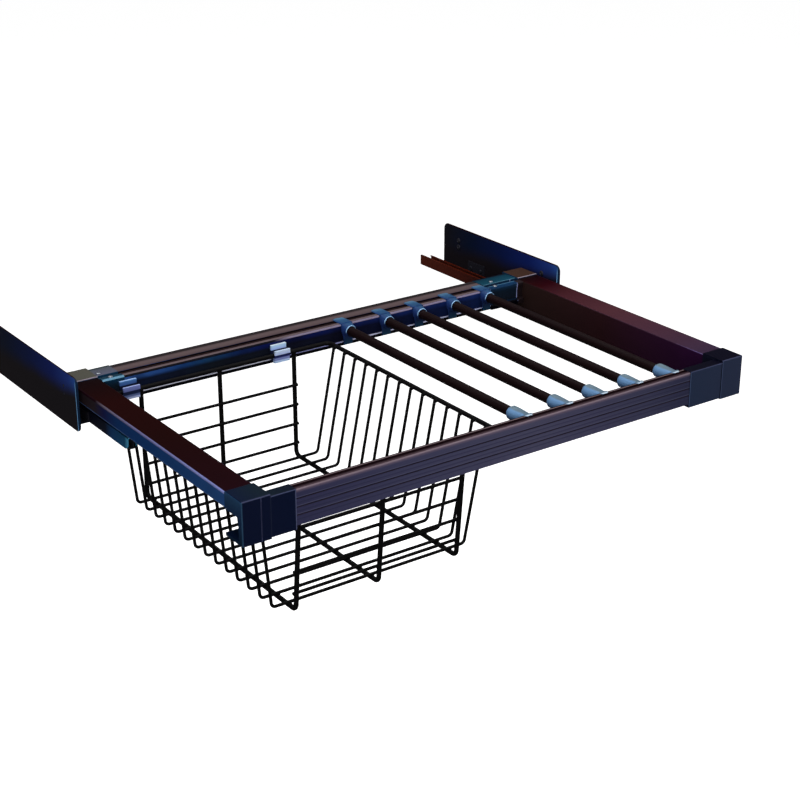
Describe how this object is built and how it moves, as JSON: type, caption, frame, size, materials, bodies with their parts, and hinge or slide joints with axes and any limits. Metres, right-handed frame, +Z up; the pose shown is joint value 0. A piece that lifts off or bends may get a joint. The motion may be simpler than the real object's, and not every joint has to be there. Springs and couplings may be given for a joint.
{
  "type": "pull out trouser rack",
  "caption": "Pull out frame for a wardrobe with a hanging wire basket at the left and round trouser bars at the right, on telescopic slides between two wall plates.",
  "frame": {"origin": "middle of the right plate's mounting holes, on the plate's outer face, where it meets the wardrobe side", "axes": "+X out through the right plate into the wardrobe side, +Y back into the wardrobe, +Z up"},
  "size_m": [0.768, 0.672, 0.1938],
  "materials": {
    "corner_plastic": "moulded, satin dark navy",
    "rail_front": "anodised, satin violet grey with fine reeds",
    "rail_rear": "anodised, satin pinkish grey",
    "rail_side": "lacquered, satin dark maroon",
    "groove_strip": "extruded, matt dark brown",
    "slide_steel": "zinc plated",
    "channel_steel": "lacquered, satin rust brown",
    "screw_steel": "zinc plated",
    "stop_rubber": "matt black",
    "glide_plastic": "moulded, natural white",
    "plate_steel": "lacquered, satin dark navy",
    "basket_wire": "powder coated black",
    "clip_plastic": "moulded, satin pale lavender blue",
    "holder_plastic": "moulded, satin blue",
    "cap_plastic": "moulded, satin steel blue",
    "bar_tube": "lacquered, satin dark brown"
  },
  "bodies": {
    "wall_sides": {"plate_left": "plate_steel", "plate_right": "plate_steel", "channel_left": "channel_steel", "channel_right": "channel_steel", "brackets_left": "slide_steel", "brackets_right": "slide_steel", "bracket_screws": "screw_steel", "channel_stops": "stop_rubber"},
    "slide_runners": {"runner_left": "slide_steel", "runner_right": "slide_steel", "glides_lower": "glide_plastic", "glides_upper": "glide_plastic"},
    "frame": {"corner_front_left": "corner_plastic", "corner_front_right": "corner_plastic", "corner_rear_left": "corner_plastic", "corner_rear_right": "corner_plastic", "front_rail": "rail_front", "front_groove_strip": "groove_strip", "rear_rail": "rail_rear", "rear_groove_strip": "groove_strip", "side_rail_left": "rail_side", "side_rail_right": "rail_side", "carrier_left": "slide_steel", "carrier_right": "slide_steel", "carrier_screws": "screw_steel", "rail_screws": "screw_steel", "sleeve_screws": "screw_steel", "clips_rear": "clip_plastic", "clips_front": "clip_plastic"},
    "basket": {"basket_top_frame": "basket_wire", "basket_runners": "basket_wire", "basket_ribs": "basket_wire", "basket_rear_wires": "basket_wire", "basket_front_wires": "basket_wire"},
    "bar_1": {"bar_tube_1": "bar_tube", "bar_holder_1": "holder_plastic", "bar_cap_1": "cap_plastic"},
    "bar_2": {"bar_tube_2": "bar_tube", "bar_holder_2": "holder_plastic", "bar_cap_2": "cap_plastic"},
    "bar_3": {"bar_tube_3": "bar_tube", "bar_holder_3": "holder_plastic", "bar_cap_3": "cap_plastic"},
    "bar_4": {"bar_tube_4": "bar_tube", "bar_holder_4": "holder_plastic", "bar_cap_4": "cap_plastic"},
    "bar_5": {"bar_tube_5": "bar_tube", "bar_holder_5": "holder_plastic", "bar_cap_5": "cap_plastic"}
  },
  "joints": [
    {"name": "frame_slide", "type": "slide", "parent": "wall_sides", "child": "frame", "axis": [0, 1, 0], "range_m": [0, 0.275]},
    {"name": "runner_slide", "type": "slide", "parent": "wall_sides", "child": "slide_runners", "axis": [0, 1, 0], "range_m": [0, 0.1375]},
    {"name": "basket_lift", "type": "slide", "parent": "frame", "child": "basket", "axis": [0, 0, 1], "range_m": [0, 0.03]},
    {"name": "bar_1_slide", "type": "slide", "parent": "frame", "child": "bar_1", "axis": [1, 0, 0], "range_m": [-0.02, 0.018]},
    {"name": "bar_2_slide", "type": "slide", "parent": "frame", "child": "bar_2", "axis": [1, 0, 0], "range_m": [-0.018, 0.018]},
    {"name": "bar_3_slide", "type": "slide", "parent": "frame", "child": "bar_3", "axis": [1, 0, 0], "range_m": [-0.018, 0.018]},
    {"name": "bar_4_slide", "type": "slide", "parent": "frame", "child": "bar_4", "axis": [1, 0, 0], "range_m": [-0.018, 0.018]},
    {"name": "bar_5_slide", "type": "slide", "parent": "frame", "child": "bar_5", "axis": [1, 0, 0], "range_m": [-0.018, 0.001]}
  ],
  "couplings": [
    {"joint": "runner_slide", "follows": "frame_slide", "ratio": 0.5}
  ]
}
